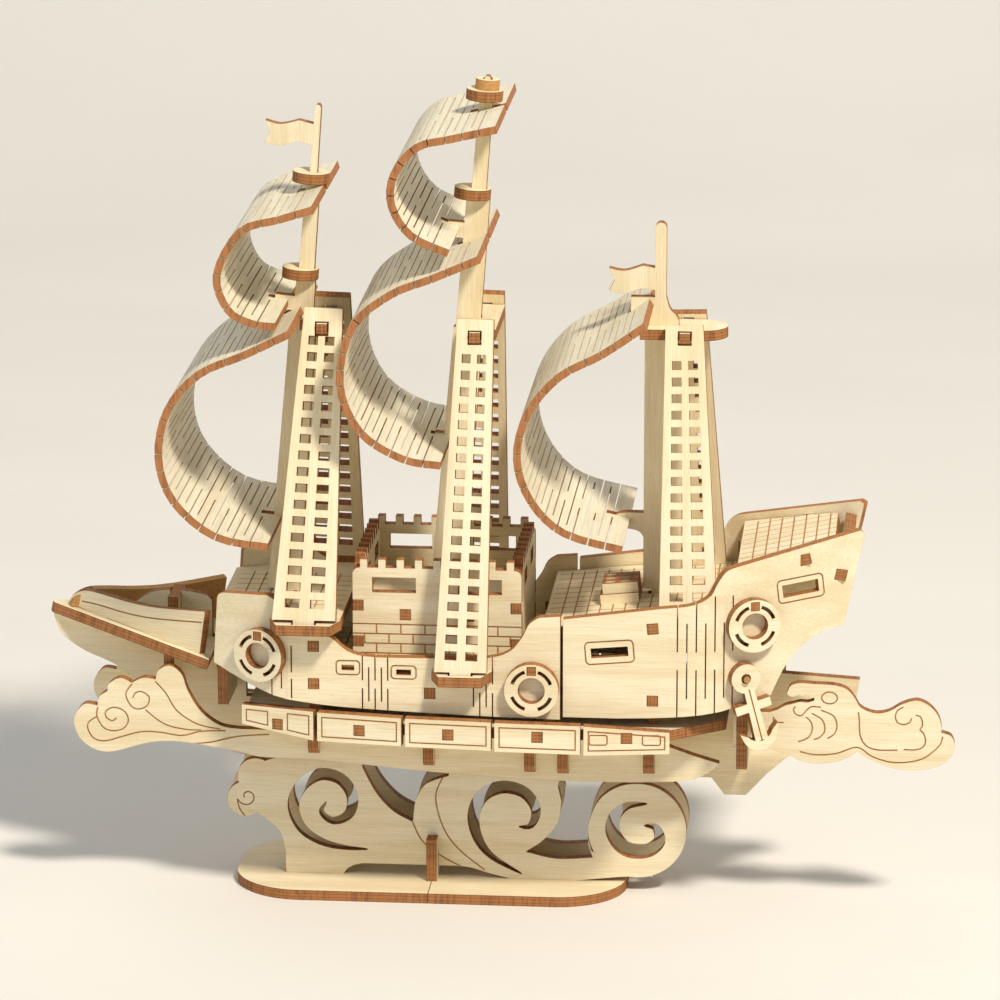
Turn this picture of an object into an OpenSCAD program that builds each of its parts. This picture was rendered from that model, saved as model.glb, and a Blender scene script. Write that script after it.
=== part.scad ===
// Three-masted sailing ship on a scroll stand: a push-fit puzzle cut from thin plywood sheet.
// +X points to the stern, +Y to starboard, +Z up. The origin is on the base's underside, below the stand.

/* [Ply] */
// Thickness of the plywood sheet
ply = 3; // [2.5:0.1:3.6]
// Gap on each side of a tab in its slot
fit = 0.1; // [0.05:0.05:0.15]
// Thickness of the flexible sail sheet
sail_ply = 2.2; // [1.8:0.1:2.6]
// Width of an engraved line
line_w = 0.35; // [0.25:0.05:0.6]
// Depth of an engraved line
line_d = 0.3; // [0.2:0.1:0.5]
// Width of a flexing slit
slit_w = 0.35; // [0.25:0.05:0.6]

/* [Base and stand] */
// Length of the base
base_l = 113.5; // [105:0.5:137]
// Width of the base
base_w = 48; // [41:1:60]
// Corner radius of the base
base_r = 20; // [8:1:20]
// Distance between the middles of the two stand plates
stand_gap = 14; // [11:0.5:18]
// Length of the brace across the stand
brace_l = 26; // [24:1:36]

/* [Hull] */
// Distance between the middles of the two hull sides
beam = 64; // [58:1:76]
// Distance between the middles of the two wave plates
wave_gap = 36; // [30:1:43]
// Width of the sponson deck at its widest
sponson_w = 72; // [66:1:90]
// Height of the main deck's top
main_deck_z = 72; // [71:0.5:74]
// Angle by which the bow end of a hull side turns in
bow_turn = 22; // [18:1:26]
// Angle by which the stern end of a hull side turns in
stern_turn = 20; // [16:1:24]

/* [Castle] */
// Length of the castle
castle_l = 48; // [42:1:52]
// Width of the castle
castle_w = 50; // [40:1:56]
// Height of the castle's walls
castle_h = 30.5; // [26:0.5:36]

/* [Rig] */
// Width of the sails
sail_w = 64; // [53:1:76]
// Angle by which the fore and main masts lean aft
rake = 4.5; // [4:0.5:5]
// Diameter of the mast tops' round plates
nest_d = 10.4; // [9.5:0.1:12]

/* [Fittings] */
// Outer diameter of a life ring
ring_d = 15.4; // [13:0.2:17]
// Bore of a life ring
ring_bore = 7.6; // [6.2:0.2:8]
// Diameter of an anchor's peg
peg_d = 2; // [1.6:0.1:2.4]
// Diameter by which the anchor's eye is larger than its peg
eye_gap = 0.8; // [0.6:0.1:1.2]

/* [Hidden] */

// Heights of the structure, from the floor up
arch_z = 6.4;
rib_z = 38;
half_z = 46;
sponson_z = 54;
sponson_top = sponson_z + ply;
fore_deck_z = 86;
quarter_z = 85;
quarter_slope = 5.5;
poop_slope = 12.3;
rib_x = [-79, -37, -4, 25, 34.5, 59];
rib_low = [64, 43.2, 40.4, 39.2, 39, 39.6];
stern_frame_x = 85.6;
bow_frame_x = -63;
fore_frame_x = -35.3;
waist_frame_x = -2.3;
break_frame_x = 31;
quarter_frame_x = 60.7;
seam_x = -4;
seam_gap = 0.2;

// Half widths
stand_y = stand_gap / 2;
wave_y = wave_gap / 2;
side_y = beam / 2;
slot = ply + 2 * fit;
tab_l = 8;
rib_w = wave_gap + 8;
eps = 0.05;

// Hull side folds: the place of each bend along the sheet, and its angle
bow_bends = [[42.5, bow_turn / 2], [46, bow_turn / 2]];
stern_bends = [for (i = [0:4]) [68.9 + 2.55 * i, stern_turn / 5]];
bow_kink = -44.2;
stern_kink = 74;
side_gap = 0.5;

// ---- Curves -------------------------------------------------------------------------------

// One coordinate of a smooth curve through b and c
function blend(a, b, c, d, t) =
    ((2 * b) + (c - a) * t + (2 * a - 5 * b + 4 * c - d) * t * t
     + (3 * b - a - 3 * c + d) * t * t * t) / 2;

// A smooth curve through the points p, with n steps from each to the next
function smooth(p, n = 5) =
    [for (i = [0:len(p) - 2], k = [0:n - 1])
        blend(p[max(i - 1, 0)], p[i], p[i + 1], p[min(i + 2, len(p) - 1)], k / n),
     p[len(p) - 1]];

// The direction of the curve p at point i, as a unit vector
function heading(p, i) =
    let (d = p[min(i + 1, len(p) - 1)] - p[max(i - 1, 0)]) d / norm(d);

// The point a distance s to the left of the curve p at point i
function beside(p, i, s) = p[i] + s * [-heading(p, i).y, heading(p, i).x];

// A strip of width w along the curve p
module strip(p, w = line_w)
    polygon([for (i = [0:len(p) - 1]) beside(p, i, w / 2),
             for (i = [len(p) - 1:-1:0]) beside(p, i, -w / 2)]);

// A crescent along the curve p: w wide in the middle, and narrow at both ends
module crescent(p, w) {
    n = len(p) - 1;
    half = [for (i = [0:n]) 0.15 + w / 2 * pow(sin(180 * i / n), 0.8)];
    polygon([for (i = [0:n]) beside(p, i, half[i]),
             for (i = [n:-1:0]) beside(p, i, -half[i])]);
}

// The points p in the opposite order
function turned(p) = [for (i = [len(p) - 1:-1:0]) p[i]];

// Points of an arc
function arc(c, r, a, b, n = 16) =
    [for (i = [0:n]) c + r * [cos(a + (b - a) * i / n), sin(a + (b - a) * i / n)]];

// Points of a spiral whose radius goes from r to q
function spiral(c, r, q, a, b, n = 22) =
    [for (i = [0:n]) c + (r + (q - r) * i / n) * [cos(a + (b - a) * i / n), sin(a + (b - a) * i / n)]];

// The length of the curve p up to point i, and the point a length s along it
function run(p, i) = i == 0 ? 0 : run(p, i - 1) + norm(p[i] - p[i - 1]);
function leg(p, s, i = 0) =
    i >= len(p) - 2 || run(p, i + 1) >= s ? i : leg(p, s, i + 1);
function along(p, s) =
    let (i = leg(p, s), d = p[i + 1] - p[i]) p[i] + d * (s - run(p, i)) / norm(d);

// ---- Plates -------------------------------------------------------------------------------

// A plate that stands along the ship, with its middle at y
module lengthwise(y = 0, t = ply)
    translate([0, y + t / 2, 0]) rotate([90, 0, 0]) linear_extrude(t) children();

// A plate that stands across the ship, with its middle at x
module crosswise(x = 0, t = ply)
    translate([x - t / 2, 0, 0]) rotate([90, 0, 90]) linear_extrude(t) children();

// A plate that lies flat, with its underside at z
module level(z = 0, t = ply) translate([0, 0, z]) linear_extrude(t) children();

// Engraving cut into the port face of a lengthwise plate with its middle at y
module engrave_port(y = 0)
    translate([0, y - ply / 2 + line_d, 0]) rotate([90, 0, 0]) linear_extrude(line_d + eps)
        children();

// Engraving cut into the top of a flat plate with its underside at z
module engrave_top(z = 0) translate([0, 0, z + ply - line_d]) linear_extrude(line_d + eps) children();

module box_at(c, s) translate(c) cube(s, center = true);

module rect(x0, y0, x1, y1) translate([x0, y0]) square([x1 - x0, y1 - y0]);

module round_rect(l, w, r) {
    square([l - 2 * r, w], center = true);
    square([l, w - 2 * r], center = true);
    for (x = [-1, 1], y = [-1, 1])
        translate([x * (l / 2 - r), y * (w / 2 - r)]) circle(r, $fn = 48);
}

// The outline of a rounded frame line
module frame_line(l, w, r) {
    difference() {
        round_rect(l, w, r);
        round_rect(l - 2 * line_w, w - 2 * line_w, r - line_w);
    }
}

module starboard() mirror([0, 1, 0]) children();

// ---- Folded hull sides --------------------------------------------------------------------

function fold_angle(b, i) = i == 0 ? 0 : fold_angle(b, i - 1) + b[i - 1][1];
function fold_start(b, i) =
    i == 0 ? [0, 0] :
    i == 1 ? [b[0][0], 0] :
    fold_start(b, i - 1) + (b[i - 1][0] - b[i - 2][0])
        * [cos(fold_angle(b, i - 1)), sin(fold_angle(b, i - 1))];
function fold_leg(b, s, i = 0) = i == len(b) || s < b[i][0] ? i : fold_leg(b, s, i + 1);

// Moves children from the flat sheet's panel i to its folded place
module folded(b, i) {
    p = fold_start(b, i);
    translate([p.x, p.y, 0]) rotate([0, 0, fold_angle(b, i)])
        translate([i == 0 ? 0 : -b[i - 1][0], 0, 0]) children();
}

// A sheet folded at the bends b: children(0) is its outline and children(1) its engraving
module fold_sheet(b, lo, hi) {
    lap = 0.2;
    for (i = [0:len(b)]) {
        s0 = i == 0 ? lo : b[i - 1][0] - lap;
        s1 = i == len(b) ? hi : b[i][0] + lap;
        folded(b, i) difference() {
            lengthwise() intersection() {
                children(0);
                rect(s0, 0, s1, 150);
            }
            engrave_port() intersection() {
                children(1);
                rect(s0, 0, s1, 150);
            }
        }
    }
}

// Puts children on the outer face of the sheet at the length s
module on_sheet(b, s) {
    i = fold_leg(b, s);
    folded(b, i) translate([s, -ply / 2, 0]) children();
}

// Half the room between the hull sides at x
function room(x) =
    side_y - ply / 2 - side_gap - max(0, bow_kink - x) * tan(bow_turn)
    - max(0, x - stern_kink) * tan(stern_turn);

// The length along the sheet of a hull side's place x
function fore_s(x) = -x <= -bow_kink ? -x : -bow_kink + (-x + bow_kink) / cos(bow_turn);
function aft_s(x) = x <= stern_kink ? x : stern_kink + (x - stern_kink) / cos(stern_turn);

// ---- Base and stand -----------------------------------------------------------------------

// Place of the base's middle
base_x = -4.7;
foot_x = [-38.5, 28];

module base_outline() {
    difference() {
        translate([base_x, 0]) round_rect(base_l, base_w, base_r);
        for (x = foot_x, y = [-stand_y, stand_y])
            translate([x, y]) square([tab_l + 2 * fit, slot], center = true);
        translate([seam_x, 0]) square([slot, tab_l + 2 * fit], center = true);
    }
}

module base_plate_bow() color("wheat") level() difference() {
    base_outline();
    rect(seam_x - seam_gap / 2, -base_w, base_l, base_w);
}

module base_plate_stern() color("wheat") level() difference() {
    base_outline();
    rect(-base_l, -base_w, seam_x + seam_gap / 2, base_w);
}

curl = [[0, 0.5], [-1.4, -2.6], [2, -5.2], [6.6, -3], [7.6, 2.4], [4.4, 7.4], [-1.5, 8.8],
        [-7, 5.4], [-9.6, -0.8], [-7.2, -7.6], [-1.5, -11.6], [5, -13.2], [12, -13.6]];
hook = [[3.7, -4.3], [7.2, -3.8], [8.6, 1], [5.4, 6], [-0.8, 7.6], [-6.6, 5], [-9.4, -1],
        [-8.2, -8], [-4, -13.6], [4.6, -18.6]];
whorl = [[2, 1.6], [5.4, 1], [6.4, -3], [2.8, -6], [-3.2, -5.6], [-6.8, -1.2], [-6.6, 3.8],
         [-3, 7.4], [2.8, 8.2]];
curl_at = [-35, 24.3];
hook_at = [17.2, 23.1];
whorl_at = [55.1, 18.6];
whorl_r = 14.2;
base_top = ply;

module stand_outline() {
    difference() {
        union() {
            polygon(turned(concat([[-46.8, base_top]], smooth([[-47, 10], [-49, 16], [-55, 21]]),
                           [[-55, 35]], smooth([[-53.5, 36.4], [-50, rib_z - 0.4], [-46, rib_z]]),
                           [[37.5, rib_z], [37, 30], [42, 12], [60, 4.9], [50, 4.4], [38, base_top],
                            [18.5, base_top]], smooth([[13, 4.2], [7, 6], [2.5, arch_z]]),
                           [[-24.6, arch_z]], smooth([[-27, 5.8], [-29, 4.6], [-30, base_top]]))));
            translate([-58.6, 25]) circle(5.2, $fn = 48);
            translate([-55.4, 32]) circle(5.4, $fn = 48);
            translate(whorl_at) circle(whorl_r, $fn = 96);
        }
        polygon(concat([[-25, rib_z + 1]], smooth([[-24.4, 35.5], [-20.5, 28], [-15.5, 22.5], [-9.9, 19.4]]),
                       smooth([[-9.7, 20.5], [-9, 26], [-6.4, 30.6], [-3, 32.4], [0.5, 33.6]]),
                       [[2, rib_z + 1]]));
        polygon(concat([[32.6, rib_z - 4], [32.2, 31]], smooth([[33.2, 27], [32.2, 20.5], [28, 15], [22.9, 11.3]]),
                       smooth([[23.5, 11.1], [32, 9.4], [42.3, 10.1]]),
                       smooth([[41, 14], [41, 20], [43.4, 26.5], [47, 31]]), [[46, rib_z + 1], [38.4, rib_z + 1],
                       [38.4, rib_z - 4]]));
        translate(curl_at) crescent(smooth(curl), 3.4);
        translate(hook_at) crescent(smooth(hook), 3.6);
        translate(whorl_at) crescent(smooth(whorl), 4.2);
        rect(seam_x - slot / 2, 0, seam_x + slot / 2, 11);
    }
    for (x = foot_x)
        rect(x - tab_l / 2, seam_gap, x + tab_l / 2, base_top + 1);
}

module stand_lines() {
    strip(spiral([-58, 25.8], 0.8, 2.9, 200, -160));
    strip(smooth([[-60.9, 25], [-60, 21.6], [-56.6, 17.6]]));
    strip(smooth([[-1.2, 33], [-3.2, 27], [-1, 18], [3.5, 11.5], [11, 5.4]]));
    strip(smooth([[-9.9, 19.4], [-7, 13.6], [-1, 9], [4, arch_z]]));
}

module stand_plate_port() color("burlywood") difference() {
    lengthwise(-stand_y) stand_outline();
    engrave_port(-stand_y) stand_lines();
}

module stand_plate_starboard() color("burlywood") starboard() stand_plate_port();

module stand_brace() color("peru") crosswise(seam_x) difference() {
    union() {
        rect(-brace_l / 2, base_top, brace_l / 2, 15.6);
        rect(-tab_l / 2, seam_gap, tab_l / 2, base_top + 1);
    }
    for (y = [-stand_y, stand_y])
        rect(y - slot / 2, 11, y + slot / 2, 16);
}

// ---- Keel, wave plates and ribs -----------------------------------------------------------

bow_tip = [-115, 81];
bow_drop = 11.3;
bow_deck_l = 49.5;

// The height of the bow deck's top at x
function bow_deck_top(x) = bow_tip.y - (x - bow_tip.x) * tan(bow_drop);
bow_under = ply / cos(bow_drop);

module keel_outline() {
    hump_l = -93;
    hump_r = -68.5;
    difference() {
        polygon(concat(smooth([[-114.6, 77.2], [-112.4, 71.6], [-106, 66.7], [-96, 62], [-82, 52],
                               [-68, 39.5], [-60, 36.4]]),
                       [[-10, 35], [76, 33], [79.8, 28], [86, 28], [92, 34.7], [117, 56.6], [118.2, 63.6],
                        [94, 65.1], [stern_frame_x - 2 * ply, 65.3],
                        [stern_frame_x - 2 * ply, sponson_z],
                        [-58.8, sponson_z], [-58.8, 68], [hump_r, 68], [hump_r, 82.6]],
                       smooth([[-70, 84.2], [-77, 85.3], [-82.6, 85.3], [-87.5, 83.8], [hump_l, 79.6]]),
                       [[hump_l, bow_deck_top(hump_l) - bow_under],
                        [-114.6, bow_deck_top(-114.6) - bow_under]]));
        for (x = rib_x)
            rect(x - slot / 2, x < -60 ? 64 : half_z, x + slot / 2, 90);
        rect(stern_frame_x - slot / 2, 54, stern_frame_x + slot / 2, 70);
        rect(bow_frame_x - slot / 2, 60, bow_frame_x + slot / 2, 90);
    }
}

module keel_plate() color("tan") lengthwise() keel_outline();

wave_top = 49.6;
lobe = [-78.3, 68];

module wave_outline() {
    difference() {
        polygon(concat(
            smooth([[79, 42.6], [72, 38.2], [57.5, 36.8], [35.6, 36.6], [15, 37.2], [-3.9, 38.3], [-23, 39.9],
                    [-37.7, 41], [-52.4, 41.4], [-60, 43], [-74, 45.2], [-84, 45], [-96.8, 41.7], [-104, 44.8],
                    [-106.4, 51], [-103.5, 55.8],
                    [-99.5, 55.6]]),
            smooth([[-99.5, 55.7], [-98.8, 58.3], [-96.5, 60]]),
            smooth([[-96.5, 60.1], [-96, 62.2], [-92.7, 64], [-89.5, 62.6]]),
            smooth([[-89.4, 62.6], [-86, 64.2], [-82.6, 63.8]]),
            smooth([[-82.5, 63.9], [-81.6, 66.6], lobe, [-75, 65.5], [-73.3, 60.7],
                    [-69.5, 54.5], [-64, 50.5], [-58, wave_top]]),
            [[56, wave_top]], smooth([[62, 48.6], [71, 45.4], [79, 43]])));
        for (i = [1:5])
            rect(rib_x[i] - slot / 2, rib_low[i], rib_x[i] + slot / 2, wave_top + 1);
    }
}

module wave_lines() {
    strip(smooth([[-89.4, 62.2], [-91.2, 59.3], [-89.9, 55.9], [-87.7, 54.8], [-85.1, 55.9],
                  [-84.5, 58.5], [-86.6, 60], [-88.4, 59.6], [-89.2, 58.1]]));
    strip(smooth([[-99.4, 55], [-99.7, 52.3], [-97.8, 49], [-94.9, 48.1], [-91.9, 49], [-90.6, 51.6],
                  [-91.9, 54.2], [-94.9, 55.1], [-97.1, 53.8], [-96.9, 52], [-95.2, 51.1], [-94, 52]]));
    strip(smooth([[-99.7, 52.2], [-102, 50.6], [-102.4, 48.6], [-100.7, 45.7], [-97.4, 45], [-92.6, 46.4],
                  [-87, 48], [-81.5, 48], [-75.2, 47.2], [-69.6, 48.6], [-62.5, 49]]));
    strip(smooth([[-85.6, 54.6], [-81.5, 51.3], [-78.1, 49.8], [-73.3, 49], [-69.6, 49]]));
    strip(smooth([[-82.6, 63.2], [-79.6, 59.7], [-77, 55.2], [-73.7, 52.4], [-69.6, 50.4], [-64, 49.4]]));
    strip(smooth([[-75, 44.6], [-67, 45.4], [-59, 47.4], [-50, 48.2]]));
}

module wave_plate_port() color("wheat") difference() {
    lengthwise(-wave_y) wave_outline();
    engrave_port(-wave_y) wave_lines();
}

module wave_plate_starboard() color("wheat") starboard() wave_plate_port();

// A rib between the keel and the sponson deck, notched over the keel
module rib(i) color("sienna") crosswise(rib_x[i]) difference() {
    polygon([[-rib_w / 2, rib_low[i] + 2], [-rib_w / 2 + 2, rib_low[i]], [-11, rib_low[i]], [-10, rib_z], [10, rib_z],
             [11, rib_low[i]], [rib_w / 2 - 2, rib_low[i]], [rib_w / 2, rib_low[i] + 2],
             [rib_w / 2, sponson_z], [-rib_w / 2, sponson_z]]);
    rect(-slot / 2, rib_z - 1, slot / 2, half_z);
}

cross_half = 7;
cross_top = 84.8;

// The first rib stands on the keel between the tall lobes of the wave plates and carries the bow deck
module rib_1() color("sienna") crosswise(rib_x[0]) difference() {
    top = bow_deck_top(rib_x[0] + ply / 2) - bow_under;
    union() {
        rect(-wave_y + ply / 2 + fit, 63, wave_y - ply / 2 - fit, top);
        rect(-cross_half, top - 1, cross_half, cross_top);
        rect(-4, 60, 4, 64);
    }
    rect(-slot / 2, 59, slot / 2, 64);
}

module rib_2() rib(1);
module rib_3() rib(2);
module rib_4() rib(3);
module rib_5() rib(4);
module rib_6() rib(5);

// ---- Sponson deck and gunport panels ------------------------------------------------------

// Half the width of the sponson deck at x
sponson_bow = -57;
sponson_stern = 81;
sponson_end = 22;
bulge_x = 12;
function sponson_half(x) =
    sponson_w / 2 - (x < bulge_x ? 9 * pow((bulge_x - x) / (bulge_x - sponson_bow), 2.2)
                                 : 4 * pow((x - bulge_x) / (sponson_stern - bulge_x), 2.2));
panel_ends = [-56, -34.2, -9.2, 16, 41, 66];
panel_gap = 0.8;
frame_slots = [fore_frame_x, waist_frame_x, break_frame_x, quarter_frame_x];
frame_tab_y = 15;

module sponson_deck() color("tan") union() {
    sponson_sheet();
    panel_pegs();
    starboard() panel_pegs();
}

module sponson_sheet() level(sponson_z) difference() {
    polygon(concat([for (x = panel_ends) [x, -sponson_half(x)]], [[sponson_stern, -sponson_end], [sponson_stern, sponson_end]],
            [for (i = [len(panel_ends) - 1:-1:0]) [panel_ends[i], sponson_half(panel_ends[i])]]));
    for (x = frame_slots, y = [-frame_tab_y, frame_tab_y])
        translate([x, y]) square([slot, tab_l + 2 * fit], center = true);
    rect(stern_frame_x - 2 * ply - fit, -slot / 2, base_l, slot / 2);
}

// Each panel's heights: bottom and top at its bow end, then bottom and top at its stern end
panel_z = [[54.6, 60.4, 51.6, 60.2], [51.6, 60.1, 51.6, 59.9], [51.5, 59.9, 51.2, 59.6], [51, 59.5, 50.5, 59],
           [50.3, 58.9, 50.9, 57.2]];

// The part from x0 to x1 of a panel l long with the heights q, inset by e at its top and bottom
module panel_part(q, l, x0, x1, e) {
    lo = [for (x = [x0, x1]) q[0] + (q[2] - q[0]) * (x / l + 0.5) + e];
    hi = [for (x = [x0, x1]) q[1] + (q[3] - q[1]) * (x / l + 0.5) - e];
    translate([0, -sponson_z - ply / 2]) polygon([[x0, lo[0]], [x1, lo[1]], [x1, hi[1]], [x0, hi[0]]]);
}

module panel_line(q, l, x0, x1) difference() {
    panel_part(q, l, x0, x1, 1.2);
    panel_part(q, l, x0 + line_w, x1 - line_w, 1.2 + line_w);
}

// Panel i lies against the edge of the sponson deck, and a tab of the deck shows in its middle
module gunport_panel(i) {
    x0 = panel_ends[i];
    x1 = panel_ends[i + 1];
    y0 = -sponson_half(x0);
    y1 = -sponson_half(x1);
    l = norm([x1 - x0, y1 - y0]) - panel_gap;
    mid = [(x0 + x1) / 2, (y0 + y1) / 2, sponson_z + ply / 2];
    q = panel_z[i];
    translate(mid) rotate([0, 0, atan2(y1 - y0, x1 - x0)]) difference() {
        lengthwise(-ply / 2 - fit) difference() {
            panel_part(q, l, -l / 2, l / 2, 0);
            square([slot, slot], center = true);
        }
        if (i == 0)
            engrave_port(-ply / 2 - fit) {
                panel_line(q, l, 1.2 - l / 2, -2.8);
                panel_line(q, l, 2.8, l / 2 - 1.2);
            }
        else
            engrave_port(-ply / 2 - fit) panel_line(q, l, 1.2 - l / 2, l / 2 - 1.2);
        if (i == 4)
            engrave_port(-ply / 2 - fit)
                for (x = [-8, 7]) translate([x, -0.6]) frame_line(5.4, 3.2, 0.8);
    }
}

module gunport_panels_port() color("wheat") for (i = [0:4]) gunport_panel(i);
module gunport_panels_starboard() color("wheat") starboard() gunport_panels_port();

// The deck's tabs, one for each panel
module panel_pegs() {
    for (i = [0:4]) {
        x0 = panel_ends[i];
        x1 = panel_ends[i + 1];
        y0 = -sponson_half(x0);
        y1 = -sponson_half(x1);
        translate([(x0 + x1) / 2, (y0 + y1) / 2, sponson_z + ply / 2])
            rotate([0, 0, atan2(y1 - y0, x1 - x0)]) translate([0, -ply / 2 - fit + 0.3, 0])
                cube([ply, ply + 0.6, ply], center = true);
    }
}

// ---- Frames on the sponson deck -----------------------------------------------------------

tab_s = 3;
main_under = main_deck_z - ply;
fore_under = fore_deck_z - ply;
frame_gap = 0.2;
frame_half = side_y - ply / 2 - frame_gap;
skin_y = side_y + ply / 2;
quarter_x = 29.4;
quarter_under = quarter_z - ply;
function quarter_at(x) = quarter_under + (x - quarter_x) * tan(quarter_slope);

// A frame that stands on the sponson deck, with tabs through the hull sides at the heights tabs
module frame(x, top, tabs = [], low = frame_half) color("tan") crosswise(x) union() {
    rect(-low, sponson_top, low, 62);
    rect(-frame_half, 60.4, frame_half, top);
    for (z = tabs) rect(-skin_y, z - tab_s / 2, skin_y, z + tab_s / 2);
    for (y = [-frame_tab_y, frame_tab_y])
        rect(y - tab_l / 2, sponson_z + fit, y + tab_l / 2, sponson_top + 1);
}

fore_tabs = [79, 68];
waist_tabs = [66];
quarter_tabs = [65.4];

module frame_fore() frame(fore_frame_x, fore_under, fore_tabs);
module frame_waist() frame(waist_frame_x, main_under, waist_tabs);
module frame_break() frame(break_frame_x, quarter_under);
module frame_quarter() frame(quarter_frame_x, quarter_at(quarter_frame_x - ply / 2), quarter_tabs, frame_half - 2.2);

module frame_bow() color("tan") crosswise(bow_frame_x) difference() {
    half = room(bow_frame_x - ply / 2);
    low = half - 1.8;
    polygon([[-low, 57], [low, 57], [low, 67.6], [half, 68.6], [half, fore_under], [-half, fore_under],
             [-half, 68.6], [-low, 67.6]]);
    rect(-slot / 2, 56, slot / 2, 60);
}

wave_at_y = -22;
stern_wave_half = 54;
poop_x = 84.3;
poop_under = 99.4;

module frame_stern() color("tan") crosswise(stern_frame_x) difference() {
    half = room(stern_frame_x + ply / 2);
    low = 42.4;
    polygon([[-half, low + 2], [-half + 2, low], [half - 2, low], [half, low + 2],
             [half, poop_under - 0.1], [-half, poop_under - 0.1]]);
    rect(-slot / 2, low - 1, slot / 2, 54);
    rect(wave_at_y - slot / 2, low - 1, wave_at_y + slot / 2, stern_wave_half);
}

// ---- Hull sides ---------------------------------------------------------------------------

ring_peg = 2.4;
ring_top = (ring_d + ring_bore) / 4;
ring_at = [[-49.4, 76], [26.7, 68.4], [87.6, 87.4]];
anchor_at = [85.2, 72.3];

// Flexing slits of width slit_w at the places s, between the heights lo and hi
module slits(s, lo, hi) {
    for (i = [0:len(s) - 1]) {
        third = (hi - lo) / 3;
        if (i % 2 == 0) {
            rect(s[i] - slit_w / 2, lo - 1, s[i] + slit_w / 2, lo + 1.25 * third);
            rect(s[i] - slit_w / 2, hi - 1.25 * third, s[i] + slit_w / 2, hi + 3);
        } else
            rect(s[i] - slit_w / 2, lo + 0.45 * third, s[i] + slit_w / 2, hi - 0.45 * third);
    }
}

module mortise(s, z) translate([s, z]) square([slot, tab_s + 2 * fit], center = true);

module ring_mortise(s, z) translate([s, z + ring_top]) square(ring_peg + 2 * fit, center = true);

fore_edge = 34.6;
fore_outline = concat(
    smooth([[fore_edge, 59.2], [8, 59.8], [-21.4, 61], [-35.2, 62.1], [-46, 63.9], [-56, 67.4], [-64.2, 71.2]], 3),
    [[-63, 89.8]], smooth([[-62.9, 90.6], [-62.3, 91.7], [-61, 92.2]], 3),
    smooth([[-48, 93.2], [-45.4, 92], [-41, 88.5], [-35, 84.4], [-29.9, 81.4], [-26.4, 78.4],
            [-22.7, 76.8], [-16.9, 76.2]], 3),
    smooth([[5, 76.4], [14, 76.8], [20.2, 78.8], [23.9, 83.2], [25.8, 87], [28.6, 89]], 3),
    [[fore_edge, 89.5]]);

module fore_sheet() difference() {
    polygon([for (p = fore_outline) [fore_s(p.x), p.y]]);
    for (z = fore_tabs) mortise(-fore_frame_x, z);
    for (z = waist_tabs) mortise(-waist_frame_x, z);
    ring_mortise(fore_s(ring_at[0].x), ring_at[0].y);
    ring_mortise(fore_s(ring_at[1].x), ring_at[1].y);
    slits([14.2, 16, 17.8, 19.6, 21.4], 61, 75.4);
    slits([-15.5, -13.7, -11.9, -10.1], 60, 75.6);
    slits([41.6, 44.25, 46.9], 64.5, 76);
    translate([25.5, 73]) square([3.6, 1.6], center = true);
    translate([9.7, 72]) square([4.2, 1.6], center = true);
}

module fore_engraving() {
    translate([25.5, 73]) frame_line(7, 4.4, 1.2);
    translate([9.7, 72]) frame_line(7.4, 4.2, 1.2);
}

module hull_side_fore_port() color("wheat") translate([0, -side_y, 0]) mirror([1, 0, 0])
    fold_sheet(bow_bends, -40, 90) {
        fore_sheet();
        fore_engraving();
    }

module hull_side_fore_starboard() color("wheat") starboard() hull_side_fore_port();

aft_edge = 35.4;
aft_outline = concat(
    [[aft_edge, 60]],
    smooth([[50.6, 60], [65, 60.6], [79.4, 62.2], [93.2, 66]], 3),
    smooth([[93.2, 66.2], [95.5, 71.4], [97.8, 75.4], [101.3, 79.6], [107, 83.4], [113.1, 85]], 4),
    smooth([[118.5, 110.4], [118.5, 111.6], [117.2, 112.2]], 3),
    smooth([[82.8, 104], [80.2, 102.8], [78, 99.4], [76.4, 96.2], [73.4, 94.2], [69.8, 93.2]], 3),
    [[61.9, 92.3], [aft_edge, 88.7]]);

module aft_sheet() difference() {
    polygon([for (p = aft_outline) [aft_s(p.x), p.y]]);
    for (z = quarter_tabs) mortise(quarter_frame_x, z);
    ring_mortise(aft_s(ring_at[2].x), ring_at[2].y);
    slits([for (i = [0:6]) 67.6 + 2.55 * i], 61.5, 93);
    translate([48.5, 79.4]) rotate(5) square([10.5, 2.8], center = true);
    translate([aft_s(101), 96.6]) rotate(7) square([10.6, 3.6], center = true);
    translate([aft_s(anchor_at.x), anchor_at.y]) circle(d = peg_d + 2 * fit, $fn = 32);
}

module aft_engraving() {
    translate([48.5, 79.4]) rotate(5) frame_line(14, 6.8, 1.4);
    translate([aft_s(101), 96.6]) rotate(7) frame_line(13.8, 7, 1.4);
}

module hull_side_aft_port() color("wheat") difference() {
    translate([0, -side_y, 0]) fold_sheet(stern_bends, 20, 140) {
        aft_sheet();
        aft_engraving();
    }
    quarter_tabs_at(fit);
    poop_tabs_at(fit);
    transom_tabs_at(fit);
}

module hull_side_aft_starboard() color("wheat") starboard() hull_side_aft_port();

// ---- Decks --------------------------------------------------------------------------------

plank = 3.6;

// Planking lines from x0 to x1 and across the half width w
module planks(x0, x1, w) {
    for (x = [x0 + plank:plank:x1 - 1])
        rect(x - line_w / 2, -w, x + line_w / 2, w);
    for (y = [-5 * plank * 1.4:plank * 1.4:w - 1])
        if (abs(y) < w) rect(x0, y - line_w / 2, x1, y + line_w / 2);
}

// Place of the foremast's and mainmast's middle at the height z
function fore_mast_x(z) = -36.4 - (228.7 - z) * tan(rake);
function main_mast_x(z) = 11.3 - (235.7 - z) * tan(rake);
mizzen_x = 60.3;
mast_tab_l = 6;

// A raked mast's tab needs a slot longer by its lean
module mast_slot() square([mast_tab_l + 2 * fit + 2 * ply * tan(rake), slot], center = true);

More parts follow.
